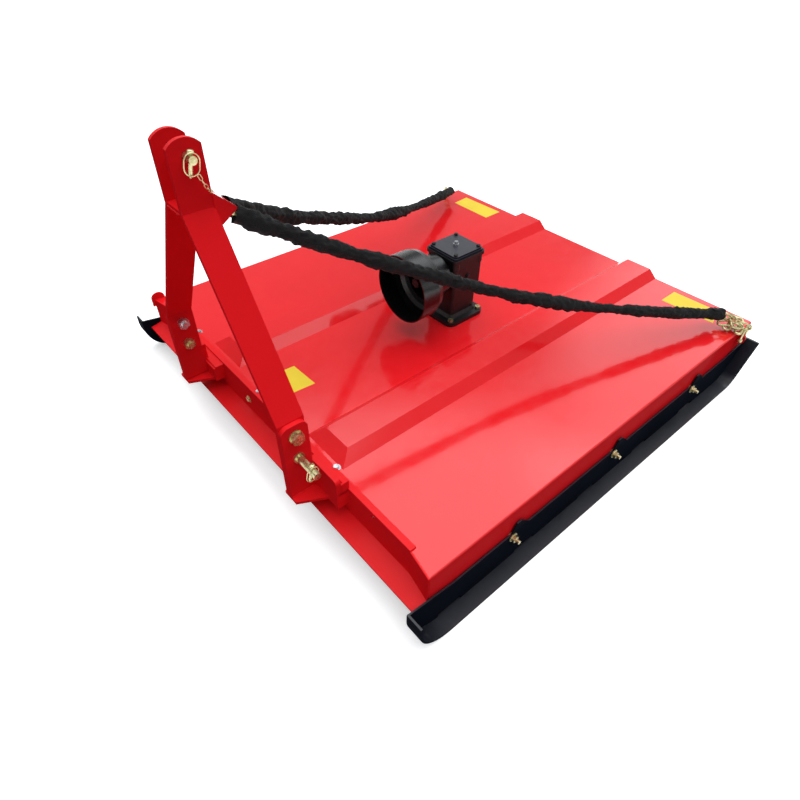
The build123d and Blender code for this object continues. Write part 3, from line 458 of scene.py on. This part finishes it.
# Where the cloth is pushed together or pulled thin: distance along the sleeve and share of its radius
BUNCHES = [
    (0, 1.28), (0.07, 1.26), (0.12, 1.12), (0.16, 1.28), (0.19, 1.08), (0.235, 1.26), (0.27, 1.16),
    (0.33, 0.98), (0.38, 1.12), (0.60, 1.10), (0.77, 0.92), (0.82, 0.84), (0.87, 1.06), (1.02, 1.22),
    (1.10, 1.14), (1.15, 0.98), (1.20, 0.82), (1.30, 0.78), (1.35, 1.02), (1.50, 0.96), (1.57, 1.20),
    (1.63, 1.02), (1.69, 0.86), (1.75, 1.26), (2, 1.26),
]
LEFT_SHIFT = 0.05         # the left sleeve's bunches lie this much further along, so that the two differ
CLOTH_STEP = 0.004        # between two rings of the cloth
CLOTH_SIDES = 36
CLOTH_RADIUS = 0.0188
CLOTH_SAG = 0.0035        # how far the cloth hangs below the centre line
WEAVE_AROUND = 14         # repeats of the weave around the sleeve
WEAVE_LENGTH = 0.0165     # one repeat of it along the sleeve
LINK_WAVE = 0.0068        # sets how closely the links inside follow each other
SWELL, LINK_BUMP, CRUMPLE, FOLD, CREASE = 0.0028, 0.0006, 0.0030, 0.0030, 0.0034    # heights in the cloth
MOUTH = ((0.0006, 0.94), (0.02, 0.9), (0.05, 0.86))    # depth inside an end, and share of the end's size


def bunched(run):
    """The sleeve's share of its plain radius at a distance along it."""
    for (a, low), (b, high) in zip(BUNCHES, BUNCHES[1:]):
        if run <= b:
            t = (run - a) / (b - a)
            return low + (high - low) * t * t * (3 - 2 * t)


def cloth_radius(run, angle, side):
    """The cloth's distance from the centre line, at a distance along the sleeve and an angle around it.

    The numbers beside run say how many times in a metre each noise changes.
    """
    c, s = math.cos(angle), math.sin(angle)
    swell = SWELL * noise.noise(Vector((run * 11, side * 5, 0)))
    # The chain's links press through the cloth
    links = LINK_BUMP * math.sin(run / LINK_WAVE + 2.5 * noise.noise(Vector((run * 8, side, 4))))
    crumple = CRUMPLE * noise.noise(Vector((run * 70, 1.8 * c, 1.8 * s + side * 9)))
    fold = FOLD * noise.noise(Vector((run * 30 + 1.4 * math.cos(angle + side), 1.5 * s, side * 3)))
    # Sharp ridges, where this noise is near zero
    ridge = 1 - abs(noise.noise(Vector((run * 38, 1.1 * math.cos(angle + 1), 1.1 * s))))
    radius = CLOTH_RADIUS + swell + links + crumple + fold + CREASE * (ridge ** 3 - 0.5)
    return radius * bunched(run if side > 0 else abs(run - LEFT_SHIFT))


def route_line(label, side):
    """Points of the smooth curve that runs along the route."""
    curve = bpy.data.curves.new("route_" + label, "CURVE")
    curve.dimensions = "3D"
    curve.resolution_u = 40
    spline = curve.splines.new("NURBS")
    spline.points.add(len(ROUTE) - 1)
    for point, (x, y, z) in zip(spline.points, ROUTE):
        point.co = (side * x, y, z, 1)
    spline.order_u = 3
    spline.use_endpoint_u = True
    holder = bpy.data.objects.new("route_" + label, curve)
    bpy.context.scene.collection.objects.link(holder)
    bpy.context.view_layer.update()
    sampled = bpy.data.meshes.new_from_object(holder)
    line = [v.co.copy() for v in sampled.vertices]
    bpy.data.objects.remove(holder)
    return line


def even_steps(line, step):
    """A line set out again in even steps of about the given size; returns its points and its length."""
    lengths = [0.0]
    for a, b in zip(line, line[1:]):
        lengths.append(lengths[-1] + (b - a).length)
    total = lengths[-1]
    count = int(total / step)
    path = []
    j = 0
    for i in range(count + 1):
        want = total * i / count
        while j < len(lengths) - 2 and lengths[j + 1] < want:
            j += 1
        t = (want - lengths[j]) / (lengths[j + 1] - lengths[j])
        path.append(line[j].lerp(line[j + 1], t))
    return path, total


def sleeve(label, side):
    """A woven sleeve with open mouths, from the hood to near the shackle."""
    path, total = even_steps(route_line(label, side), CLOTH_STEP)
    count = len(path) - 1
    bm = bmesh.new()
    uv = bm.loops.layers.uv.new("UVMap")
    rings = []
    for i, centre in enumerate(path):
        ahead = (path[min(i + 1, count)] - path[max(i - 1, 0)]).normalized()
        flat = ahead.cross(Z_AXIS).normalized()
        high = flat.cross(ahead)
        run = total * i / count
        sag = Vector((0, 0, -CLOTH_SAG * math.sin(math.pi * i / count) ** 0.5))
        ring = []
        for k in range(CLOTH_SIDES):
            angle = 2 * math.pi * k / CLOTH_SIDES
            # Slightly wider than high
            squeeze = 1.06 * math.cos(angle) * flat + 0.95 * math.sin(angle) * high
            ring.append(bm.verts.new(centre + sag + cloth_radius(run, angle, side) * squeeze))
        rings.append(ring)
    for i in range(count):
        for k in range(CLOTH_SIDES):
            n = (k + 1) % CLOTH_SIDES
            face = bm.faces.new((rings[i][k], rings[i][n], rings[i + 1][n], rings[i + 1][k]))
            for loop, (u, w) in zip(face.loops, ((k, i), (k + 1, i), (k + 1, i + 1), (k, i + 1))):
                loop[uv].uv = (u * WEAVE_AROUND / CLOTH_SIDES, w * CLOTH_STEP / WEAVE_LENGTH)
    # Open mouths: the wall turns in and runs back a little way
    for ring, inward in ((rings[0], path[1] - path[0]), (rings[-1], path[-2] - path[-1])):
        middle = sum((v.co for v in ring), Vector()) / CLOTH_SIDES
        last = ring
        for depth, share in MOUTH:
            new = [bm.verts.new(middle + (v.co - middle) * share + inward.normalized() * depth) for v in ring]
            join_rings(bm, last, new)
            last = new
    obj = piece("sleeve_" + label, bm, SLEEVE, ["chain_sleeve_" + label], smooth=70)


for label, side in SIDES:
    sleeve(label, side)

# ---- chains and shackles

HOOD_PIN = (0.010, -0.802, 0.884)    # where the first link hangs on the pin behind the mast, right side
LINK_PITCH = 0.039
LINK_INSIDE = 0.040
LINK_STRAIGHT = 0.0135               # half of its straight run
LINK_BEND = 0.01075                  # radius of its half rounds, on the wire's centre
LINK_RADIUS = 0.00425                # of its wire
TOP_SEAT, FOOT_SEAT = 0.008, 0.0081  # how far past the pin's and the bow's middle a first link's inside ends
ROW_GAP = 0.005                      # the row from the bow leads to a point this far outside the sleeve
SHACKLE_X, SHACKLE_Y = 0.805, 0.800
SHACKLE_LEG = 0.0165                 # half the distance between its legs
SHACKLE_RADIUS = 0.0045              # of its bar
SHACKLE_FOOT, SHACKLE_KNEE, SHACKLE_TOP = 0.192, 0.21, 0.228    # heights of the eyes, the legs and the round
BOW_STEPS = 12
# The right chain's spare end, piled on the deck at the shackle: place, heading, climb and roll of each link
SPARE_LINKS = [
    ((0.738, 0.752, 0.250), 40, 0.1, 20),
    ((0.756, 0.756, 0.240), 75, 0.0, 10),
    ((0.770, 0.772, 0.246), 20, 0.15, 60),
    ((0.790, 0.770, 0.238), 100, 0.1, 0),
    ((0.762, 0.782, 0.262), 30, -0.1, 35),
    ((0.746, 0.770, 0.268), -20, 0.2, 80),
    ((0.776, 0.760, 0.256), 60, -0.3, 30),
]


def link(bm, centre, along, width):
    """One link of a stay chain."""
    tube(bm, oval(centre, along, width, LINK_STRAIGHT, LINK_BEND), LINK_RADIUS, sides=14, closed=True)


def chain(label, side):
    """The links that show: from the hood's pin to the sleeve, and from the sleeve to the shackle."""
    points = [Vector((side * x, y, z)) for x, y, z in ROUTE]
    pin = Vector((side * HOOD_PIN[0], HOOD_PIN[1], HOOD_PIN[2]))
    bow = Vector((side * SHACKLE_X, SHACKLE_Y, SHACKLE_TOP + SHACKLE_LEG))
    top_axis = (points[1] - points[0]).normalized()
    foot_axis = (points[-2] - points[-1]).normalized()
    rise = (points[-1] - foot_axis * ROW_GAP - bow).normalized()
    top_first = pin - top_axis * TOP_SEAT
    foot_first = bow - rise * FOOT_SEAT
    # Rows of links: inner end of the first, direction, direction across it and number
    rows = [
        (top_first, top_axis, top_axis.cross(X_AXIS), 2),
        (foot_first, rise, rise.cross(Y_AXIS), 3),
        (foot_first + rise * LINK_PITCH * 3, foot_axis, rise.cross(Z_AXIS), 1),
    ]
    bm = bmesh.new()
    for first, along, across, number in rows:
        across = (across - along * across.dot(along)).normalized()
        for i in range(number):
            # Every other link stands at right angles
            width = across if i % 2 == 0 else along.cross(across)
            link(bm, first + along * (LINK_PITCH * i + LINK_INSIDE / 2), along, width)
    if label == "right":
        for centre, heading, climb, roll in SPARE_LINKS:
            heading, roll = math.radians(heading), math.radians(roll)
            along = Vector((math.cos(heading), math.sin(heading), climb)).normalized()
            level = along.cross(Z_AXIS).normalized()
            width = level * math.cos(roll) + along.cross(level) * math.sin(roll)
            link(bm, Vector(centre), along, width)
    piece("chain_" + label, bm, ZINC, ["chain_links_" + label])


def shackle(label, side):
    """A round bow with two eyes and its pin."""
    def at(y, z):
        return Vector((side * SHACKLE_X, SHACKLE_Y + y, z))

    bm = bmesh.new()
    arch = [at(-SHACKLE_LEG, SHACKLE_FOOT), at(-SHACKLE_LEG, SHACKLE_KNEE)]
    for k in range(BOW_STEPS + 1):
        a = math.pi * (1 - k / BOW_STEPS)
        arch.append(at(SHACKLE_LEG * math.cos(a), SHACKLE_TOP + SHACKLE_LEG * math.sin(a)))
    arch += [at(SHACKLE_LEG, SHACKLE_KNEE), at(SHACKLE_LEG, SHACKLE_FOOT)]
    tube(bm, arch, SHACKLE_RADIUS, sides=14)
    eye = [(-0.0045, 0.0076), (-0.0038, 0.0085), (0.0038, 0.0085), (0.0045, 0.0076)]
    shank = [(-0.0255, 0.0044), (-0.0249, 0.005), (0.0249, 0.005), (0.0255, 0.0044)]
    for y, profile in ((-SHACKLE_LEG, eye), (SHACKLE_LEG, eye), (0, shank)):
        turned(bm, at(y, SHACKLE_FOOT), Y_AXIS, profile, sides=20)
    piece("shackle_" + label, bm, ZINC, ["chain_shackle_" + label])


for label, side in SIDES:
    chain(label, side)
    shackle(label, side)

# ---- lynch pins: the middle of the pin that each one locks, that pin's radius, the ring's side and the node

LYNCH_LEAN = math.radians(12)
LYNCH_UP = Vector((0, math.sin(LYNCH_LEAN), math.cos(LYNCH_LEAN)))
LYNCH_RADIUS = 0.005
LYNCH_HEAD = [(0, 0.0058), (0.0012, 0.0071), (0.005, 0.0076), (0.0082, 0.0068), (0.0097, 0.0046), (0.010, 0.002)]
LYNCH_PINS = [
    ((0.066, -0.857, 1.022), 0.0095, 1, "lynch_pin_top"),
    ((0.402, -0.857, 0.323), 0.011, 1, "lynch_pin_right"),
    ((-0.402, -0.857, 0.323), 0.011, -1, "lynch_pin_left"),
]
RING_STRAIGHT, RING_BEND, RING_RADIUS = 0.0065, 0.0175, 0.0014
RING_DROP = 0.0245 - 0.005    # its middle lies this far below the head's foot
RING_OUT = 0.007              # and this far out to its side

for middle, reach, outward, node in LYNCH_PINS:
    bm = bmesh.new()
    foot = Vector(middle) + LYNCH_UP * reach
    turned(bm, foot, LYNCH_UP, LYNCH_HEAD)
    through = 2 * reach
    shank = [(0, LYNCH_RADIUS), (through + 0.021, LYNCH_RADIUS), (through + 0.028, 0.0036), (through + 0.030, 0.002)]
    turned(bm, foot, -LYNCH_UP, shank)
    ring_middle = foot - LYNCH_UP * RING_DROP + X_AXIS * (outward * RING_OUT)
    ring = oval(ring_middle, LYNCH_UP, LYNCH_UP.cross(X_AXIS), RING_STRAIGHT, RING_BEND, steps=14)
    tube(bm, ring, RING_RADIUS, sides=12, closed=True)
    piece(node.replace("lynch_pin", "lynch"), bm, ZINC, [node])

# ---- keeper chain, which sags from the top ring to the corner of the hood

KEEPER_START, KEEPER_END = Vector((0.0725, -0.850, 0.990)), Vector((0.0485, -0.815, 0.936))
KEEPER_SAG = Vector((0.004, 0, -0.010))
KEEPER_LINKS = 6
KEEPER_STRAIGHT, KEEPER_BEND, KEEPER_RADIUS = 0.0044, 0.0032, 0.0008

bm = bmesh.new()
for i in range(KEEPER_LINKS):
    t = (i + 0.5) / KEEPER_LINKS
    centre = KEEPER_START.lerp(KEEPER_END, t) + KEEPER_SAG * 4 * t * (1 - t)
    along = (KEEPER_END - KEEPER_START + KEEPER_SAG * 4 * (1 - 2 * t)).normalized()
    across = along.cross(X_AXIS).normalized()
    width = across if i % 2 == 0 else along.cross(across)
    shape = oval(centre, along, width, KEEPER_STRAIGHT, KEEPER_BEND, steps=6)
    tube(bm, shape, KEEPER_RADIUS, sides=7, closed=True)
piece("keeper_chain", bm, ZINC)

# ---- bolts: name, place, direction, width over the flats, height, material and slot

BOLTS = [
    ("deck_bolt_1", (-0.480, -0.762, DECK_TOP), (0, 0, 1), 0.016, 0.008, SILVER, "steel"),
    ("deck_bolt_2", (-0.0545, -0.7635, DECK_TOP), (0, 0, 1), 0.016, 0.008, SILVER, "steel"),
    ("deck_bolt_3", (0.3655, -0.7595, DECK_TOP), (0, 0, 1), 0.016, 0.008, SILVER, "steel"),
    ("beam_bolt", (-0.103, -0.780, 0.175), (0, -1, 0), 0.016, 0.008, ZINC, "zinc"),
    ("level_plug", (0.070, 0.049, 0.407), (1, 0, 0), 0.014, 0.006, CAST, "steel"),
]
for name, place, axis, across, height, material, slot in BOLTS:
    bm = bmesh.new()
    bolt_head(bm, Vector(place), Vector(axis), across, height)
    piece(name, bm, material, smooth=30)

# ---- blank stickers on the deck, by the X and Y of their corners

STICKER_FOOT, STICKER_TOP = DECK_TOP + 0.00005, DECK_TOP + 0.0003
STICKERS = {
    "sticker_rear_left": ((-0.685, 0.751), (-0.693, 0.843), (-0.467, 0.849), (-0.466, 0.749)),
    "sticker_rear_right": ((0.489, 0.748), (0.489, 0.844), (0.666, 0.848), (0.701, 0.755)),
    "sticker_mast": ((-0.095, -0.602), (0.025, -0.598), (0.019, -0.676), (-0.098, -0.640)),
}
for name, corners in STICKERS.items():
    bm = bmesh.new()
    prism(bm, [(x, y, STICKER_FOOT) for x, y in corners], [(x, y, STICKER_TOP) for x, y in corners])
    piece(name, bm, YELLOW, smooth=30)

# ---- weld beads on the right side, from point to point; the left side has their mirror

EAR_OUTER, EAR_INNER = 0.3415, 0.3265      # X of the hitch ear's two faces
EAR_FRONT, EAR_BACK = -0.897, -0.817       # Y of its front edge, and of the back plate that it stands on
EAR_FOOT = 0.180
BEAM_FACE = -0.780
DECK_WALL = 0.792
BEADS = [
    # Foot of the ear, along both faces
    ((EAR_OUTER, EAR_FRONT, EAR_FOOT), (EAR_OUTER, EAR_BACK, EAR_FOOT)),
    ((EAR_INNER, EAR_FRONT, EAR_FOOT), (EAR_INNER, EAR_BACK, EAR_FOOT)),
    # Back of the ear, upright against the back plate
    ((EAR_OUTER, EAR_BACK, 0.182), (EAR_OUTER, EAR_BACK, 0.282)),
    ((EAR_INNER, EAR_BACK, 0.182), (EAR_INNER, EAR_BACK, 0.222)),
    # The foot plate's edge on the back plate, on both sides of the ear
    ((0.4035, EAR_BACK, EAR_FOOT), (0.344, EAR_BACK, EAR_FOOT)),
    ((0.324, EAR_BACK, EAR_FOOT), (0.2705, EAR_BACK, EAR_FOOT)),
    # The bracket's lips on the beam's face
    ((0.4415, BEAM_FACE, 0.172), (0.4415, BEAM_FACE, 0.220)),
    ((0.4495, BEAM_FACE, 0.172), (0.4495, BEAM_FACE, 0.220)),
    ((0.2665, BEAM_FACE, 0.172), (0.2665, BEAM_FACE, 0.220)),
    # Both sides of the chain's lug on the deck's wall
    ((DECK_WALL, 0.796, 0.177), (DECK_WALL, 0.796, 0.207)),
    ((DECK_WALL, 0.804, 0.177), (DECK_WALL, 0.804, 0.207)),
    # The hood on the back of the mast bar, and the spacer's front edge
    ((0.045, EAR_BACK, 0.852), (0.045, EAR_BACK, 0.930)),
    ((0.033, EAR_FRONT, 0.897), (0.0, EAR_FRONT, 0.897)),
]
for label, side in SIDES:
    bm = bmesh.new()
    for a, b in BEADS:
        weld(bm, (side * a[0], a[1], a[2]), (side * b[0], b[1], b[2]))
    piece("welds_" + label, bm, FRAME_RED, smooth=60)

# ---- small plates that close the brackets onto the beam: the low and the high corner of each, right side

CAPS = [
    ((0.2585, -0.810, 0.2225), (0.4495, -0.7755, 0.2265)),
    ((0.4455, -0.803, 0.222), (0.4495, -0.7755, 0.262)),
]
for label, side in SIDES:
    bm = bmesh.new()
    for low, high in CAPS:
        size = Vector(high) - Vector(low)
        middle = (Vector(high) + Vector(low)) / 2
        middle.x *= side
        bmesh.ops.create_cube(bm, size=1, matrix=Matrix.Translation(middle) @ Matrix.Diagonal((*size, 1)))
    piece("bracket_cap_" + label, bm, FRAME_RED, smooth=30)

# ---- rounded tab at the beam's left end

TAB_INNER, TAB_OUTER = -0.7865, -0.7915    # X of its two faces
TAB_FOOT, TAB_SHOULDER = 0.200, 0.232      # heights at which it starts and its round begins
TAB_MIDDLE, TAB_HALF, TAB_RISE = -0.781, 0.026, 0.022
TAB_STEPS = 8
tab = [(TAB_MIDDLE - TAB_HALF, TAB_FOOT), (TAB_MIDDLE + TAB_HALF, TAB_FOOT)]
for k in range(TAB_STEPS + 1):
    a = math.pi * k / TAB_STEPS
    tab.append((TAB_MIDDLE + TAB_HALF * math.cos(a), TAB_SHOULDER + TAB_RISE * math.sin(a)))
bm = bmesh.new()
prism(bm, [(TAB_INNER, y, z) for y, z in tab], [(TAB_OUTER, y, z) for y, z in tab])
piece("beam_tab", bm, FRAME_RED, smooth=30)

# ---- floor: plain and pale, it keeps the object's shadow

FLOOR_SIZE = 22
FLOOR_DROP = 0.0005
FLOOR_GLOW = 0.45    # only for the rays that show the background

bm = bmesh.new()
bmesh.ops.create_grid(bm, x_segments=2, y_segments=2, size=FLOOR_SIZE)
floor = mesh_object("floor", bm)
floor.location = (0, 0, -FLOOR_DROP)
mat, tree, shader = node_tree("floor")
rays = tree.nodes.new("ShaderNodeLightPath").outputs
seen = combined(tree, "MAXIMUM", rays["Is Camera Ray"], rays["Is Glossy Ray"], rays["Is Transmission Ray"])
tree.links.new(mixed(tree, seen, (0.3, 0.3, 0.3), (0.9, 0.9, 0.9)), shader.inputs["Base Color"])
shader.inputs["Roughness"].default_value = 1.0
shader.inputs["Specular IOR Level"].default_value = 0.0
shader.inputs["Emission Color"].default_value = (1, 1, 1, 1)
tree.links.new(combined(tree, "MULTIPLY", seen, FLOOR_GLOW), shader.inputs["Emission Strength"])
# Clear from below, so that the blades can be seen from there
side_seen = tree.nodes.new("ShaderNodeNewGeometry")
clear = tree.nodes.new("ShaderNodeBsdfTransparent")
either = tree.nodes.new("ShaderNodeMixShader")
tree.links.new(side_seen.outputs["Backfacing"], either.inputs["Fac"])
tree.links.new(shader.outputs["BSDF"], either.inputs[1])
tree.links.new(clear.outputs["BSDF"], either.inputs[2])
tree.links.new(either.outputs["Shader"], tree.nodes["Material Output"].inputs["Surface"])
floor.data.materials.append(mat)

# ---- sky: overcast and brightest overhead, with a gap behind the machine, and dimmer towards the hitch.
# It lights the object. The camera sees plain white instead, and so do reflections of the lowest part.

SKY_COLOUR = (0.95, 0.975, 1.0, 1)
LOW_SKY, HIGH_SKY, GAP_SKY = 0.34, 2.1, 1.4     # strengths
GAP_DIRECTION = (-0.166, 0.781, 0.602)
HITCH_SHARE = 0.55                              # of the sky's strength, towards the hitch
CLOUD_WOBBLE = 0.08                             # how far the clouds' edges wander

world = bpy.data.worlds.new("world")
bpy.context.scene.world = world
world.use_nodes = True
tree = world.node_tree
direction = tree.nodes.new("ShaderNodeTexCoord").outputs["Generated"]


def towards(vector):
    """How far a direction of the sky lies towards a vector, from -1 to 1."""
    node = tree.nodes.new("ShaderNodeVectorMath")
    node.operation = "DOT_PRODUCT"
    tree.links.new(direction, node.inputs[0])
    node.inputs[1].default_value = Vector(vector).normalized()
    return node.outputs["Value"]


cloud = speckle(tree, scale=2.6, detail=4, rough=0.55, direction=direction)
wobble = combined(tree, "MULTIPLY", combined(tree, "SUBTRACT", cloud, 0.5), CLOUD_WOBBLE)
height = combined(tree, "ADD", towards((0, 0, 1)), wobble)
low_sky = span(tree, height, 0.0, LOW_SKY, start=0.10, end=0.34, smooth=True)
high_sky = span(tree, height, 0.0, HIGH_SKY, start=0.64, end=0.74, smooth=True)
near_gap = combined(tree, "ADD", towards(GAP_DIRECTION), wobble)
gap = span(tree, near_gap, 0.0, GAP_SKY, start=0.945, end=0.985, smooth=True)
hitch_side = span(tree, towards((0, -1, 0)), 1.0, HITCH_SHARE, start=0.05, end=0.45, smooth=True)
strength = combined(tree, "MULTIPLY", combined(tree, "ADD", low_sky, high_sky, gap), hitch_side)

near_floor = span(tree, towards((0, 0, 1)), 1.0, 0.0, start=0.33, end=0.40, smooth=True)
rays = tree.nodes.new("ShaderNodeLightPath").outputs
low_glossy = combined(tree, "MULTIPLY", rays["Is Glossy Ray"], near_floor)
white = combined(tree, "MAXIMUM", low_glossy, rays["Is Camera Ray"], rays["Is Transmission Ray"])
sky = tree.nodes["Background"]
sky.inputs["Color"].default_value = SKY_COLOUR
tree.links.new(strength, sky.inputs["Strength"])
plain = tree.nodes.new("ShaderNodeBackground")
plain.inputs["Color"].default_value = (1, 1, 1, 1)
choice = tree.nodes.new("ShaderNodeMixShader")
tree.links.new(white, choice.inputs["Fac"])
tree.links.new(sky.outputs["Background"], choice.inputs[1])
tree.links.new(plain.outputs["Background"], choice.inputs[2])
tree.links.new(choice.outputs["Shader"], tree.nodes["World Output"].inputs["Surface"])
bpy.context.scene.view_settings.view_transform = "Standard"
